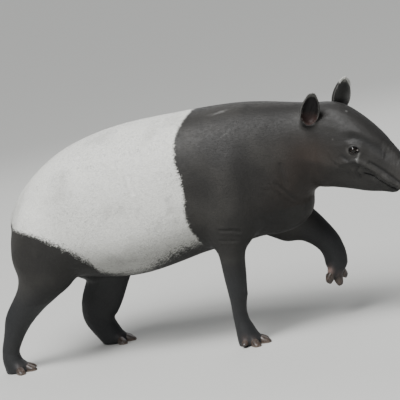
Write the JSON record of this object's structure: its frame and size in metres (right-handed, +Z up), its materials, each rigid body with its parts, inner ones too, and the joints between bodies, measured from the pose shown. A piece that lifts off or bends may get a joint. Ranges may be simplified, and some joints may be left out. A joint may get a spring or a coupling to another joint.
{
  "type": "malayan tapir model",
  "caption": "Life-size standing tapir in mid walk, dark coat with a pale saddle, short drooping snout and upright oval ears.",
  "frame": {"origin": "on the floor, under the centre of the box round the whole animal", "axes": "+X the way the animal walks, +Y its left side, +Z up"},
  "size_m": [1.9662, 0.5426, 1.0428],
  "materials": {
    "coat_black": "short smooth dark grey to black coat, satin",
    "coat_white": "short smooth pale grey coat, matt",
    "hoof": "dull dark horn",
    "eye": "wet dark brown"
  },
  "bodies": {
    "root": {"barrel": "coat_white", "ear_left": "coat_black", "ear_right": "coat_black", "eye_left": "eye", "eye_right": "eye", "foreleg_left_cannon": "coat_black", "foreleg_left_foot": "coat_black", "foreleg_left_forearm": "coat_black", "foreleg_right_cannon": "coat_black", "foreleg_right_foot": "coat_black", "foreleg_right_forearm": "coat_black", "head": "coat_black", "hindleg_left_cannon": "coat_black", "hindleg_left_foot": "coat_black", "hindleg_left_shank": "coat_black", "hindleg_left_thigh": "coat_black", "hindleg_right_cannon": "coat_black", "hindleg_right_foot": "coat_black", "hindleg_right_shank": "coat_black", "hindleg_right_thigh": "coat_black", "hoof_forefoot_left_1": "hoof", "hoof_forefoot_left_2": "hoof", "hoof_forefoot_left_3": "hoof", "hoof_forefoot_left_4": "hoof", "hoof_forefoot_right_1": "hoof", "hoof_forefoot_right_2": "hoof", "hoof_forefoot_right_3": "hoof", "hoof_forefoot_right_4": "hoof", "hoof_hindfoot_left_1": "hoof", "hoof_hindfoot_left_2": "hoof", "hoof_hindfoot_left_3": "hoof", "hoof_hindfoot_right_1": "hoof", "hoof_hindfoot_right_2": "hoof", "hoof_hindfoot_right_3": "hoof", "lower_jaw": "coat_black", "neck": "coat_black", "shoulders": "coat_black", "snout": "coat_black", "tail": "coat_black"}
  },
  "joints": []
}
